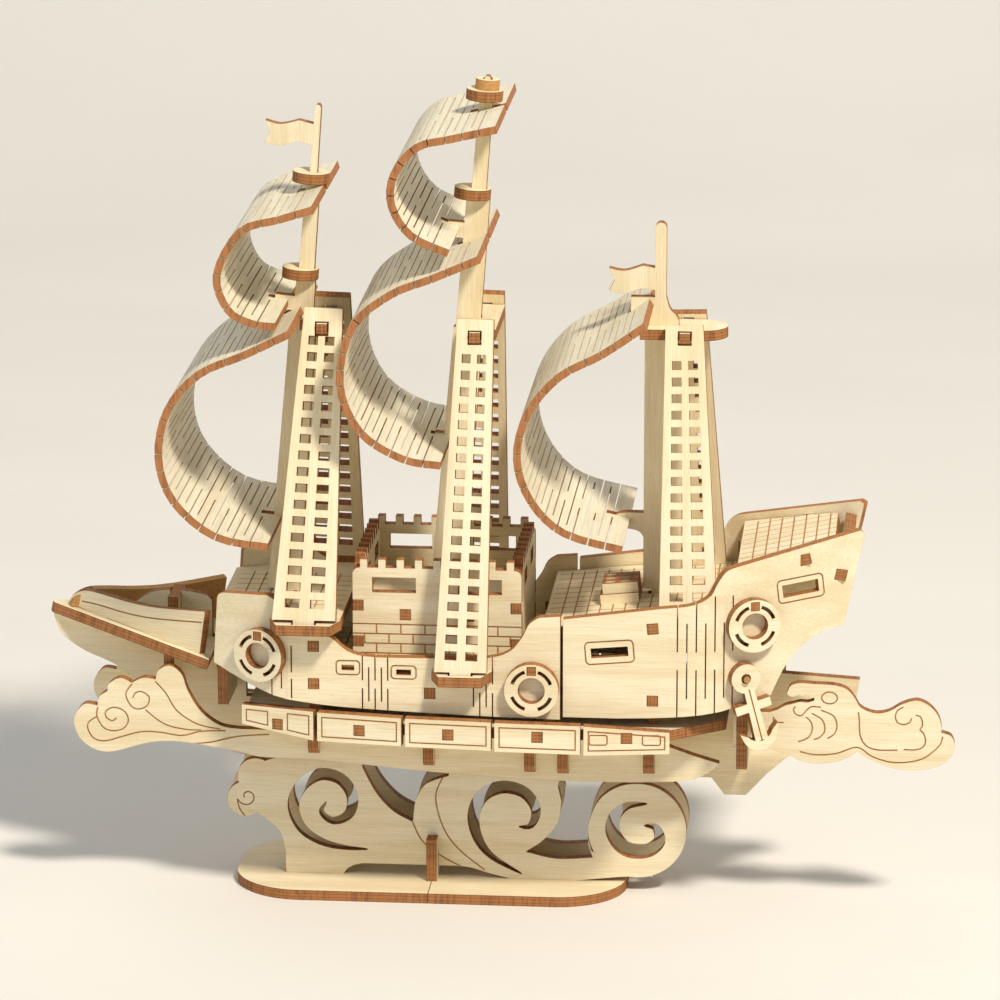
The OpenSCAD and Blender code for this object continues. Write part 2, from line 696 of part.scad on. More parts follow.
module fore_deck() color("tan") difference() {
    level(fore_under) difference() {
        polygon([[-64.3, -room(-64.3)], [bow_kink, -room(bow_kink)], [-28, -room(0)], [-28, room(0)],
                 [bow_kink, room(bow_kink)], [-64.3, room(-64.3)]]);
        translate([fore_mast_x(fore_deck_z), 0]) mast_slot();
    }
    engrave_top(fore_under) planks(-62, -29, 18);
}

module main_deck() color("tan") difference() {
    x0 = fore_frame_x + ply / 2 + frame_gap;
    x1 = break_frame_x - ply / 2 - frame_gap;
    level(main_under) difference() {
        rect(x0, -frame_half, x1, frame_half);
        translate([main_mast_x(main_deck_z), 0]) mast_slot();
    }
    engrave_top(main_under) planks(x0 + 1, x1 - 1, frame_half - 2);
}

module quarter_place() translate([quarter_x, 0, quarter_under]) rotate([0, -quarter_slope, 0]) children();

quarter_tab_x = 31.5;

// Tabs of the quarter deck, one through each hull side, larger all round by g
module quarter_tabs_at(g = 0) quarter_place()
    box_at([quarter_tab_x, 0, ply / 2], [tab_s + 2 * g, 2 * skin_y + 4 * g, ply + 2 * g]);

module quarter_deck() color("tan") difference() {
    x1 = (stern_frame_x - ply / 2 - frame_gap - quarter_x) / cos(quarter_slope);
    kink = (stern_kink - 3.5 - quarter_x) / cos(quarter_slope);
    half = room(stern_kink - 1);
    union() {
        quarter_place() level() polygon([[0, -half], [kink, -half], [x1, -room(stern_frame_x)],
                                         [x1, room(stern_frame_x)], [kink, half], [0, half]]);
        quarter_tabs_at();
    }
    quarter_place() {
        engrave_top() planks(1, x1 - 1, 27);
        box_at([mizzen_x - quarter_x + 1, 0, ply / 2], [mast_tab_l + 2 * fit + 1, slot, 3 * ply]);
    }
    for (m = [-1, 1])
        box_at([mizzen_shroud[0].x - 0.2, m * (mizzen_shroud[0].y + 0.4), quarter_z + ply], [foot_tab + 1, ply + 1.2, 4 * ply]);
}

module poop_place() translate([poop_x, 0, poop_under]) rotate([0, -poop_slope, 0]) children();

poop_tab_x = 19.2;
poop_tab_half = 23.4 + side_y - 32;

module poop_tabs_at(g = 0) poop_place()
    box_at([poop_tab_x, 0, ply / 2], [tab_s + 2 * g, 2 * poop_tab_half + 4 * g, ply + 2 * g]);

module poop_deck() color("tan") difference() {
    x1 = 27.8;
    union() {
        poop_place() level() polygon([[0, -room(poop_x)], [x1, -room(poop_x + x1)], [x1, room(poop_x + x1)],
                                      [0, room(poop_x)]]);
        poop_tabs_at();
    }
    poop_place() engrave_top() planks(0.5, x1, 23);
}

transom_x = 109.8;
transom_z = 86;
transom_h = 23;
transom_lean = 12.4;
transom_tab_half = 20 + side_y - 32;

module transom_place() translate([transom_x, 0, transom_z]) rotate([0, transom_lean, 0]) children();

module transom_tabs_at(g = 0) transom_place()
    box_at([0, 0, 14], [ply + 2 * g, 2 * transom_tab_half + 4 * g, tab_s + 2 * g]);

module transom() color("tan") union() {
    transom_place() crosswise() difference() {
        low = room(transom_x + 2.5);
        high = room(transom_x + 7);
        polygon([[-low, 0], [low, 0], [high, transom_h], [-high, transom_h]]);
        translate([0, 8]) square([14, 3.6], center = true);
    }
    transom_tabs_at();
}

// ---- Bow ----------------------------------------------------------------------------------

bow_half = 24;

module bow_place() translate([bow_tip.x, 0, bow_tip.y]) rotate([0, bow_drop, 0]) children();

rail_in = 3.4;
rail_l = 46;
rail_turn = atan(bow_half / bow_deck_l);

module bow_deck_outline() difference() {
    polygon(concat([[bow_deck_l, -bow_half]], arc([2.2, 0], 2.2, 244, 116, 8), [[bow_deck_l, bow_half]]));
    rect(21.5, -slot / 2, 48, slot / 2);
    cross_s = (rib_x[0] - bow_tip.x + ply / 2 * sin(bow_drop)) / cos(bow_drop);
    translate([cross_s, 0])
        square([ply / cos(bow_drop) + ply * tan(bow_drop) + 2 * fit, 2 * cross_half + 2 * fit], center = true);
    for (m = [0, 1]) mirror([0, m]) rotate(-rail_turn) translate([0, rail_in])
        for (x = [14, 34]) translate([x, 0]) square([tab_l + 2 * fit, slot], center = true);
}

module bow_deck() color("burlywood") bow_place() translate([0, 0, -ply]) level() bow_deck_outline();

rail_top = [[4, 0.2], [5.4, 3.2], [9, 5.6], [15, 6.4], [24, 7], [34, 8.6], [rail_l + 3.6, 12.6]];

// A rail stands along one edge of the bow deck
module bow_rail() rotate([0, 0, -rail_turn]) translate([0, rail_in, 0]) difference() {
    lengthwise() union() {
        polygon(concat(smooth(rail_top), [[rail_l + 4.5, 0]]));
        for (x = [14, 34]) rect(x - tab_l / 2, -ply, x + tab_l / 2, 1);
    }
    engrave_port() strip(smooth([for (i = [2:len(rail_top) - 1]) rail_top[i] - [0.4, 3.4]]));
}

module bow_rails() color("wheat") bow_place() {
    bow_rail();
    mirror([0, 1, 0]) bow_rail();
}

// ---- Castle -------------------------------------------------------------------------------

castle_x = -1;
merlon_w = 2.1;
merlon_h = 2.4;
end_wall_in = ply / 2;
castle_tabs = [main_deck_z + 17, main_deck_z + 6.4];
castle_round = 2;
castle_floor_z = main_deck_z + 13;
floor_tab_x = 9;
brick_h = 2.85;
brick_l = 6.9;
brick_rows = 4;

// A battlement wall l long, with its middle at 0
module battlement(l) {
    n = floor((l - 4) / 5.2);
    top = main_deck_z + castle_h - merlon_h;
    polygon(concat([[-l / 2, main_deck_z], [l / 2, main_deck_z]],
                   arc([l / 2 - castle_round, top - castle_round], castle_round, 0, 90, 6),
                   arc([castle_round - l / 2, top - castle_round], castle_round, 90, 180, 6)));
    for (i = [0:n])
        translate([(i - n / 2) * 5.2, main_deck_z + castle_h - merlon_h / 2 - 0.5])
            square([merlon_w, merlon_h + 1], center = true);
}

module bricks(l) {
    for (i = [1:brick_rows])
        rect(-l / 2, main_deck_z + i * brick_h, l / 2, main_deck_z + i * brick_h + line_w);
    for (i = [0:brick_rows - 1], x = [-l / 2 + (i % 2 == 0 ? 3.2 : 6.6):brick_l:l / 2 - 2])
        rect(x, main_deck_z + i * brick_h, x + line_w, main_deck_z + (i + 1) * brick_h + line_w / 2);
}

module castle_wall_port() color("wheat") translate([castle_x, 0, 0]) difference() {
    y = -castle_w / 2 + ply / 2;
    lengthwise(y) difference() {
        battlement(castle_l);
        for (m = [-1, 1]) {
            translate([m * 12.2, main_deck_z + castle_h - 7.4]) square([12.4, 4.4], center = true);
            for (z = castle_tabs) mortise(m * (castle_l / 2 - end_wall_in), z);
            translate([m * floor_tab_x, castle_floor_z + ply / 2]) square([tab_s + 2 * fit, slot], center = true);
        }
    }
    engrave_port(y) bricks(castle_l);
}

module castle_wall_starboard() color("wheat") starboard() castle_wall_port();

castle_in = castle_w / 2 - ply - fit;

module castle_end_walls() color("tan") for (m = [-1, 1])
    crosswise(castle_x + m * (castle_l / 2 - end_wall_in)) union() {
        difference() {
            battlement(2 * castle_in);
            for (k = [-1, 1])
                translate([k * 10.5, main_deck_z + castle_h - 7.4]) square([9, 4.4], center = true);
        }
        for (z = castle_tabs) rect(-castle_w / 2, z - tab_s / 2, castle_w / 2, z + tab_s / 2);
    }

module castle_floor() color("tan") level(castle_floor_z) difference() {
    half = castle_l / 2 - end_wall_in - ply / 2 - fit;
    union() {
        translate([castle_x, 0]) square([2 * half, 2 * castle_in], center = true);
        for (m = [-1, 1]) translate([castle_x + m * floor_tab_x, 0]) square([tab_s, castle_w], center = true);
    }
    translate([main_mast_x(castle_floor_z), 0]) square([12, slot], center = true);
}

// ---- Masts --------------------------------------------------------------------------------

tree_z = 164.6;
tree_aft = 7;

// A straight-sided mast: rows of [height, half width] from the foot up
module taper(rows) polygon([for (r = rows) [r[1], r[0]], for (i = [len(rows) - 1:-1:0]) [-rows[i][1], rows[i][0]]]);

// A swallow-tailed flag that flies forward from the pole at the height v
module flag(v, l, h) polygon(turned(concat(
    [[0, v]], smooth([[-l * 0.35, v + 0.8], [-l * 0.7, v - 0.9], [-l, v - 0.2]], 4), [[-l + 1.6, v + h / 2 - 0.2]],
    smooth([[-l, v + h], [-l * 0.7, v + h - 0.7], [-l * 0.35, v + h + 0.9]], 4), [[0, v + h]])));

module fore_mast_place() translate([fore_mast_x(fore_deck_z), 0, fore_deck_z]) rotate([0, rake, 0]) children();
module main_mast_place() translate([main_mast_x(main_deck_z), 0, main_deck_z]) rotate([0, rake, 0]) children();

// Rows of each mast, from the deck up. A step in the width is a shoulder that carries a plate
fore_shoulders = [78.8, 92.3, 120.2];
fore_half = [2.9, 2.2, 1.1];
main_shoulders = [92.9, 130.4, 158.7];
main_half = [3.5, 2.1, 1.2];
fore_pole_h = 142.6;
main_pole_h = 165.6;

module mast_rows(foot, shoulders, half, h) taper([
    [0.38, foot], [shoulders[0], foot - 0.9], [shoulders[0], half[0]], [shoulders[1], half[0] - 0.2],
    [shoulders[1], half[1]], [shoulders[2], half[1] - 0.2], [shoulders[2], half[2]],
    [h - 0.8, half[2] * 0.8], [h, half[2] * 0.4]]);

module foremast() color("wheat") fore_mast_place() lengthwise() union() {
    mast_rows(4.6, fore_shoulders, fore_half, fore_pole_h);
    rect(-mast_tab_l / 2, fit - ply, mast_tab_l / 2, 1);
    flag(130.8, 14.6, 6);
    rect(-8.4, 82.8, 0, 87);
}

module mainmast() color("wheat") main_mast_place() lengthwise() union() {
    mast_rows(5, main_shoulders, main_half, main_pole_h);
    rect(-mast_tab_l / 2, fit - ply, mast_tab_l / 2, 1);
    rect(-8, 118.8, 0, 123.2);
    rect(-7, 58, 0, 61.6);
}

mizzen_tree_z = tree_z - 1.1;
mizzen_foot = 88;
mizzen_body = 5.4;
mizzen_pole = 1.6;
mizzen_neck = 4.2;

module mizzenmast() color("wheat") translate([mizzen_x + 1, 0, 0]) lengthwise() difference() {
    union() {
        polygon(turned(concat([[-mizzen_body, quarter_at(mizzen_x) + ply + 1.2], [-mizzen_body, mizzen_tree_z],
                        [-mizzen_neck, mizzen_tree_z]],
                       smooth([[-mizzen_neck, 168], [-3.6, 170], [-2.4, 171.5], [-1 - mizzen_pole, 175]], 3),
                       [[-1 - mizzen_pole, 194.6]], arc([-1, 194.6], mizzen_pole, 180, 0, 8),
                       smooth([[mizzen_pole - 1, 175], [1.6, 171.5], [3.4, 169.6], [mizzen_neck, 168]], 3),
                       [[mizzen_neck, mizzen_tree_z], [mizzen_body, mizzen_tree_z],
                        [mizzen_body, quarter_at(mizzen_x) + ply + 1.2]])));
        rect(-mast_tab_l / 2, quarter_at(mizzen_x) + 0.4, mast_tab_l / 2, 95);
        translate([-1, 0]) flag(176.4, 14.6, 6.4);
        rect(-9.4, 169.8, -1, 174.6);
        polygon(turned(concat([[-4, 104]], smooth([[-mizzen_body, 104.4], [-7.4, 106.4], [-14.6, 107.4]], 4),
                       smooth([[-14.6, 109.6], [-12, 111.4], [-mizzen_body, 111.6]], 4), [[-4, 111.6]])));
    }
}

// A round plate on a mast: half is the mast's half width above its shoulder
module nest(v, half, d, ahead) translate([0, 0, v]) difference() {
    translate([-ahead, 0, 0]) cylinder(d = d, h = ply, $fn = 64);
    box_at([0, 0, ply / 2], [2 * half + 2 * fit, slot, 3 * ply]);
}

cap_d = 6.8;

module foremast_nests() color("peru") fore_mast_place() {
    nest(fore_shoulders[1], fore_half[1], nest_d, 1.8);
    nest(fore_shoulders[2], fore_half[2], nest_d, 0.8);
}

module mainmast_nests() color("peru") main_mast_place() {
    nest(main_shoulders[1], main_half[1], nest_d, 1.8);
    nest(main_shoulders[2], main_half[2], nest_d, 0.6);
    nest(main_shoulders[2] + ply, main_half[2], cap_d, 0);
}

// ---- Shrouds ------------------------------------------------------------------------------

shroud_y = side_y + 4.8;
shroud_top_y = 17;
mizzen_shroud_y = 26.5;
mizzen_top_y = 8.4;

// Foot and top of each shroud plate: [foot x, y, z], [top x, y, z], foot width, top width, foot slope
channel_z = [84, 70];
mizzen_foot_x = 70.2;
fore_shroud = [[-37.4, shroud_y, channel_z[0] + ply + 0.45], [-34.5, 9, 171.3], 18, 10.8, 0];
main_shroud = [[6.8, shroud_y, channel_z[1] + ply + 0.45], [9.4, shroud_top_y, 171], 14.8, 10.2, 0];
mizzen_shroud = [[mizzen_foot_x, mizzen_shroud_y, quarter_at(mizzen_foot_x) + ply + 0.45], [67.6, mizzen_top_y, 168.4], 16.4, 10.6, quarter_slope];

function lean(s) = atan((s[0].y - s[1].y) / (s[1].z - s[0].z));
function tilt(s) = atan((s[1].x - s[0].x) / (s[1].z - s[0].z));
function shroud_l(s) = norm([s[0].y - s[1].y, s[1].z - s[0].z]);
// Half the distance between the two plates' middles at the height z
function shroud_at(s, z) = s[0].y - (z - s[0].z) * tan(lean(s));
function shroud_x(s, z) = s[0].x + (z - s[0].z) * tan(tilt(s));

row_h = 4.65;
window_h = 2.5;
foot_tab = 6;

module shroud_outline(s) {
    l = shroud_l(s);
    rows = floor((l - 8) / row_h);
    difference() {
        union() {
            rise = s[2] / 2 * tan(s[4] + tilt(s));
            polygon([[-s[2] / 2, -rise], [s[2] / 2, rise], [s[3] / 2, l], [-s[3] / 2, l]]);
            rect(-foot_tab / 2, 0.4 - ply, foot_tab / 2, 1);
        }
        for (i = [0:rows - 1], m = [-1, 1]) {
            v = 3.4 + i * row_h;
            w = s[2] + (s[3] - s[2]) * v / l;
            translate([m * w * 0.2, v + window_h / 2]) square([w * 0.23, window_h], center = true);
        }
    }
}

module port_shroud(s) translate([s[0].x, -s[0].y, s[0].z]) rotate([-lean(s), 0, 0])
    rotate([0, tilt(s), 0]) lengthwise() shroud_outline(s);

module shroud_pair(s) color("wheat") difference() {
    union() {
        port_shroud(s);
        starboard() port_shroud(s);
    }
    crosstree_tabs(s, fit + 0.35);
}

tree_tab = 3;

// The tabs of a crosstree through both of its shroud plates, larger all round by g
module crosstree_tabs(s, g = 0) {
    z = (s[1].x > 50 ? mizzen_tree_z : tree_z) + ply / 2;
    box_at([shroud_x(s, z), 0, z], [tree_tab + 2 * g, 2 * shroud_at(s, z) + ply + 1.6 + 2 * g, ply + 2 * g]);
}

// A crosstree from x0 to x1, with the slot from m0 to m1 for its mast
module crosstree(s, z, x0, x1, m0, m1) {
    half = shroud_at(s, z + ply) - ply / 2 - 0.4;
    difference() {
        union() {
            level(z) rect(x0, -half, x1, half);
            crosstree_tabs(s);
        }
        translate([0, 0, z]) level(-ply, 3 * ply) rect(m0, -slot / 2, m1, slot / 2);
    }
}

module crosstrees() color("peru") {
    fx = fore_mast_x(tree_z + ply / 2);
    mx = main_mast_x(tree_z + ply / 2);
    crosstree(fore_shroud, tree_z, fx - 0.1, fx + tree_aft + 3, fx - 5, fx + fore_half[0] + 3 * fit);
    crosstree(main_shroud, tree_z, mx - 1, mx + tree_aft + 2, mx - 5, mx + main_half[0] + 3 * fit);
    difference() {
        union() {
            crosstree(mizzen_shroud, mizzen_tree_z, mizzen_x - 5.5, mizzen_x + 13, 0, 1);
            level(mizzen_tree_z) translate([mizzen_x + 12, 0]) circle(shroud_at(mizzen_shroud, mizzen_tree_z) - 2.4, $fn = 64);
        }
        box_at([mizzen_x + 1, 0, mizzen_tree_z], [2 * mizzen_neck + 2 * fit, slot, 3 * ply]);
    }
}

module fore_shrouds() shroud_pair(fore_shroud);
module main_shrouds() shroud_pair(main_shroud);
module mizzen_shrouds() shroud_pair(mizzen_shroud);

channel_out = 7;

// A half-hexagon plate outside the hull that holds a shroud's foot
module port_channel(s, z) difference() {
    l = s[2] / 2 + 1.2;
    y = -skin_y - 0.1;
    level(z) translate([s[0].x, 0]) polygon([[-l, y], [-l + 2.6, y - channel_out], [l - 2.6, y - channel_out], [l, y]]);
    box_at([s[0].x, -shroud_at(s, z + ply / 2), z], [foot_tab + 1, ply / cos(lean(s)) + ply * tan(lean(s)) + 2 * fit, 3 * ply]);
}

module shroud_channels() color("sienna") for (m = [0, 1]) mirror([0, m, 0]) {
    port_channel(fore_shroud, channel_z[0]);
    port_channel(main_shroud, channel_z[1]);
}

// ---- Sails --------------------------------------------------------------------------------

sail_pitch = 4.8;
slit_root = 5;

// A sail: a flexible sheet along the curve p, with an open slot at each end for its mast
module sail(p, slot_top, slot_foot) color("ivory") {
    path = smooth(p, 4);
    l = run(path, len(path) - 1);
    n = floor(l / sail_pitch);
    difference() {
        lengthwise(0, sail_w) strip(path, sail_ply);
        // Slits open at both edges, and between them slits that stay inside the edges
        for (m = [-1, 1])
            lengthwise(m * (sail_w / 2 + 1 + slit_root) / 2, sail_w / 2 + 1 - slit_root)
                sail_slits(path, [for (i = [1:n - 1]) i * l / n]);
        lengthwise(0, sail_w - 2 * slit_root) sail_slits(path, [for (i = [1:n - 2]) (i + 0.5) * l / n]);
        lengthwise(0, slot) translate(p[0]) circle(slot_top, $fn = 48);
        lengthwise(0, slot) translate(p[len(p) - 1]) circle(slot_foot, $fn = 48);
    }
}

module sail_slits(path, places) for (s = places) {
    d = along(path, s + 0.2) - along(path, s - 0.2);
    translate(along(path, s)) rotate(atan2(d.y, d.x)) square([slit_w, 2 * sail_ply], center = true);
}

module fore_topsail() sail([[-34.7, 204.4], [-44, 201.5], [-54.8, 197.9], [-61.6, 185.5], [-58.6, 175.6],
                            [-52, 171.8], [-45.5, 171]], 8, 6);
module fore_course() sail([[-41.5, 169], [-54.4, 162.6], [-67, 156.9], [-76, 146.4], [-78.8, 132.5],
                           [-74.7, 119.9], [-63.1, 110], [-48.2, 107.3]], 6, 6);
module main_topsail() sail([[16.4, 227.9], [3.7, 225], [-5.6, 222.5], [-11.9, 214.8], [-12.6, 206],
                            [-7.2, 197.6], [3.1, 192.9]], 10, 6);
module main_course() sail([[11.5, 191.2], [-1.4, 185.6], [-13, 180.8], [-23.7, 171.4], [-27.4, 155.3],
                           [-21.9, 141.4], [-10, 133.8], [0.7, 132.1]], 9, 6);
module mizzen_sail() sail([[57.8, 173.2], [45.9, 164.9], [34, 158.3], [25.2, 147.5], [22.2, 134.5],
                           [26.1, 122.4], [35.5, 113.3], [51.8, 108.9]], 7, 7);

// ---- Life rings, anchors, stern wave and hatch --------------------------------------------

ring_face = 0.05;
anchor_face = 0.4;

module ring_shape() difference() {
    circle(d = ring_d, $fn = 72);
    circle(d = ring_bore, $fn = 48);
    translate([0, ring_top]) square(ring_peg + 2 * fit, center = true);
    for (a = [45:90:315]) strip(arc([0, 0], ring_d / 4 + ring_bore / 4, a - 26, a + 26, 8), 1);
}

// A life ring at the height z on the hull side's outer face, with its square peg
module life_ring(z) translate([0, 0, z]) {
    lengthwise(-ply / 2 - ring_face) ring_shape();
    box_at([0, 0, ring_top], [ring_peg, 2 * ply + 2 * ring_face, ring_peg]);
}

module port_rings() {
    translate([0, -side_y, 0]) mirror([1, 0, 0]) {
        on_sheet(bow_bends, fore_s(ring_at[0].x)) life_ring(ring_at[0].y);
        on_sheet(bow_bends, fore_s(ring_at[1].x)) life_ring(ring_at[1].y);
    }
    translate([0, -side_y, 0]) on_sheet(stern_bends, aft_s(ring_at[2].x)) life_ring(ring_at[2].y);
}

module life_rings() color("wheat") {
    port_rings();
    starboard() port_rings();
}

module anchor_place() translate([0, -side_y, 0]) on_sheet(stern_bends, aft_s(anchor_at.x))
    translate([0, 0, anchor_at.y]) children();

anchor_hang = 15;
eye_r = 4.3;
shank_l = 19;

module anchor_outline() difference() {
    union() {
        circle(eye_r, $fn = 64);
        polygon([[-1.9, -shank_l], [1.9, -shank_l], [1.5, -3], [-1.5, -3]]);
        translate([0, -8.6]) square([10.6, 2.6], center = true);
        polygon(concat(smooth([[-5.8, -15.4], [-4.2, -20], [0, -22], [4.2, -20], [5.8, -15.4]]),
                       smooth([[3.6, -17], [2.6, -18.2], [0, -19.2], [-2.6, -18.2], [-3.6, -17]])));
    }
    circle(d = peg_d + eye_gap, $fn = 48);
}

module anchor_port() color("wheat") anchor_place() rotate([0, -anchor_hang, 0]) {
    y = -anchor_face - ply / 2;
    difference() {
        lengthwise(y) anchor_outline();
        engrave_port(y) rect(-line_w / 2, -shank_l, line_w / 2, -eye_r + 1);
    }
}

module anchor_starboard() color("wheat") starboard() anchor_port();

module port_peg() anchor_place() translate([0, ply, 0]) rotate([90, 0, 0])
    cylinder(d = peg_d, h = 2 * ply + anchor_face + 1, $fn = 32);

module anchor_pegs() color("sienna") {
    port_peg();
    starboard() port_peg();
}

module stern_wave_outline() difference() {
    polygon(concat(
        smooth([[83, 49.2], [88.4, 49.9], [94, 49], [99.6, 47.1], [102.1, 45.8], [106.4, 45.1], [111.5, 45.5],
                [115.7, 47.1], [118.1, 48.9]], 4),
        smooth([[118.3, 48.9], [122.5, 46.4], [127.6, 44.5], [132.7, 43.8], [137.8, 44.2], [142, 45.6],
                [144.9, 48.4], [145.7, 51.5], [144.8, 54.1], [142.7, 55]], 4),
        smooth([[141.9, 55.2], [141.9, 57.2], [140.9, 60.2], [138.7, 62.8], [135.7, 64.4], [133.2, 64.2],
                [130.3, 63.1], [127.3, 61.2], [124, 60.4], [121, 61], [118.8, 62.3], [117.5, 64.5], [115.8, 66.7],
                [113.7, 67.9], [110.3, 68.5], [106.1, 68.6], [101.8, 68.8], [99.3, 68], [98.5, 66.6]], 3),
        smooth([[98.2, 65.6], [99.2, 64.7], [100.6, 64.7], [101.6, 65.4]], 3),
        smooth([[102.6, 64.6], [104, 65.2], [104.9, 64.4], [105.9, 64.7]], 3),
        smooth([[105.9, 63.7], [104, 63.1], [101.9, 63.2], [100.2, 62.7], [97.7, 62], [95.6, 60.8], [93.4, 60]], 3),
        [[83, 60]]));
    rect(stern_frame_x - slot / 2, stern_wave_half, stern_frame_x + slot / 2, 62);
    translate([93.1, 54.5]) square(2.6, center = true);
}

module stern_wave_lines() {
    difference() {
        polygon([for (a = [0:15:345]) [110.2, 64.6] + [2.4 * cos(a), 1.9 * sin(a)]]);
        polygon([for (a = [0:15:345]) [110.2, 64.6] + [(2.4 - line_w) * cos(a), (1.9 - line_w) * sin(a)]]);
    }
    strip(smooth([[107.8, 61.8], [105.3, 61.9], [104, 61], [102.4, 59.2], [100.7, 59.6], [100.1, 60.9], [100.6, 61.8]]));
    strip(smooth([[94.6, 58.6], [94.4, 57.6], [95.4, 57], [97.3, 57]]));
    strip(smooth([[103.7, 58.8], [105.2, 57.1], [105.4, 54.8], [104.2, 52.6], [101.6, 51.4]]));
    strip(smooth([[105.3, 59.9], [108.3, 58], [109, 54.9], [107.6, 52.9], [106, 52.2]]));
    strip(smooth([[107.9, 60.9], [111.3, 59.4], [112.4, 56.8], [111.8, 54.1], [109.8, 52.6]]));
    strip(smooth([[118.4, 60.6], [118.7, 58.3], [119, 53.9], [120.7, 50.8], [124.1, 49.6], [129.6, 49.7]]));
    strip(smooth([[131.1, 62.4], [129.4, 61.3], [128.9, 59.5], [129.5, 57.9], [131.2, 57.3], [132.9, 58], [133.4, 59.2]]));
    strip(smooth([[134.6, 60.1], [135.8, 59.8], [136.4, 58.6], [136.5, 57], [135.9, 55.9], [136.9, 54.8],
                  [137.5, 52.6], [136.8, 50.8], [134.7, 49.9], [131.4, 49.9]]));
    strip(smooth([[102.1, 48.5], [106.4, 47.7], [112.3, 48.2], [118.2, 50.2], [122.5, 47.6], [127.6, 46.1],
                  [132.7, 46.2], [136.9, 47.4], [139.8, 49.6], [141.7, 51.8], [142.3, 54]]));
}

module stern_wave() color("wheat") difference() {
    lengthwise(wave_at_y) stern_wave_outline();
    engrave_port(wave_at_y) stern_wave_lines();
}

hatch_x = 15.4;
hatch_l = 11;
hatch_w = 13;
hatch_y = -4;

module hatch_layer(z, in) level(z) difference() {
    rect(hatch_x + in, hatch_y - hatch_w / 2 + in, hatch_x + hatch_l, hatch_y + hatch_w / 2 - in);
    for (x = [hatch_x + 3, hatch_x + 7.4], y = [-3.8, 0, 3.8])
        translate([x, hatch_y + y]) square([2.6, 1.6], center = true);
}

module deck_hatch() color("peru") quarter_place() {
    hatch_layer(ply, 0);
    hatch_layer(2 * ply, 0.8);
}

base_plate_bow();
base_plate_stern();
stand_plate_port();
stand_plate_starboard();
stand_brace();
keel_plate();
wave_plate_port();
wave_plate_starboard();
rib_1();
rib_2();
rib_3();
rib_4();
rib_5();
rib_6();
sponson_deck();
gunport_panels_port();
gunport_panels_starboard();
frame_bow();
frame_fore();
frame_waist();
frame_break();
frame_quarter();
frame_stern();
hull_side_fore_port();
hull_side_fore_starboard();
hull_side_aft_port();
hull_side_aft_starboard();
bow_deck();
bow_rails();
fore_deck();
main_deck();
quarter_deck();
poop_deck();
transom();
castle_wall_port();
castle_wall_starboard();
castle_end_walls();
castle_floor();
foremast();
mainmast();
mizzenmast();
foremast_nests();
mainmast_nests();
crosstrees();
fore_shrouds();
main_shrouds();
mizzen_shrouds();
shroud_channels();
fore_topsail();
fore_course();
main_topsail();
main_course();
mizzen_sail();
life_rings();
stern_wave();
anchor_port();
anchor_starboard();
anchor_pegs();
deck_hatch();
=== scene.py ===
"""A three-masted plywood ship puzzle: materials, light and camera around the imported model."""
import math

import bpy
import numpy as np
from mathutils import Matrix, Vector
from mathutils.bvhtree import BVHTree

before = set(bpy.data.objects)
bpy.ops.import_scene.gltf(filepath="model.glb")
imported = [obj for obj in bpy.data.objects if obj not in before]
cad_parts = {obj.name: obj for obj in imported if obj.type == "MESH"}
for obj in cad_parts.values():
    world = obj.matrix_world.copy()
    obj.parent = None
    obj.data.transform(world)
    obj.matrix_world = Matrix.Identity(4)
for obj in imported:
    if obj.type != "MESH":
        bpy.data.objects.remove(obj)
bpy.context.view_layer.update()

MM = 0.001
SAILS = ("fore_topsail", "fore_course", "main_topsail", "main_course", "mizzen_sail")
BENT = ("hull_side_fore_port", "hull_side_fore_starboard", "hull_side_aft_port", "hull_side_aft_starboard")
PLY = 3.0 * MM
SAIL_PLY = 2.2 * MM
GROOVE = 0.3 * MM
FACE, CUT, ENGRAVED = 0.0, 1.0, 2.0


# ---- Faces of a cut sheet -------------------------------------------------------------------

def mesh_arrays(mesh):
    """Vertex places, and each polygon's vertices, centre, normal and area."""
    co = np.zeros(len(mesh.vertices) * 3)
    mesh.vertices.foreach_get("co", co)
    n = len(mesh.polygons)
    centre, normal, area = np.zeros(n * 3), np.zeros(n * 3), np.zeros(n)
    mesh.polygons.foreach_get("center", centre)
    mesh.polygons.foreach_get("normal", normal)
    mesh.polygons.foreach_get("area", area)
    corners = [tuple(p.vertices) for p in mesh.polygons]
    return co.reshape(-1, 3), corners, centre.reshape(-1, 3), normal.reshape(-1, 3), area


def islands(co, corners):
    """The number of the separate solid that each polygon belongs to."""
    places = {}
    key = [places.setdefault(tuple(np.round(c / (2e-6)).astype(int)), len(places)) for c in co]
    parent = list(range(len(places)))

    def root(a):
        while parent[a] != a:
            parent[a] = parent[parent[a]]
            a = parent[a]
        return a

    for c in corners:
        first = root(key[c[0]])
        for v in c[1:]:
            parent[root(key[v])] = first
    return np.array([root(key[c[0]]) for c in corners])


def main_axis(normal, area):
    """The direction, with no sign, that most of the area faces."""
    flip = np.where(
        (normal[:, 2] < -1e-3)
        | ((np.abs(normal[:, 2]) <= 1e-3) & (normal[:, 1] < -1e-3))
        | ((np.abs(normal[:, 2]) <= 1e-3) & (np.abs(normal[:, 1]) <= 1e-3) & (normal[:, 0] < 0)),
        -1.0, 1.0)
    folded = normal * flip[:, None]
    sums = {}
    for k, n, a in zip(map(tuple, np.round(folded, 2)), folded, area):
        total = sums.setdefault(k, [0.0, np.zeros(3)])
        total[0] += a
        total[1] += a * n
    best = max(sums.values(), key=lambda t: t[0])[1]
    return best / np.linalg.norm(best)


def grain_axes(n, along):
    """Unit vectors along and across the grain in the sheet with the normal n."""
    g = np.array(along, float)
    g -= n * g.dot(n)
    if np.linalg.norm(g) < 0.3:
        g = np.array([0.0, 1.0, 0.0]) - n * n[1]
    g /= np.linalg.norm(g)
    return g, np.cross(n, g)


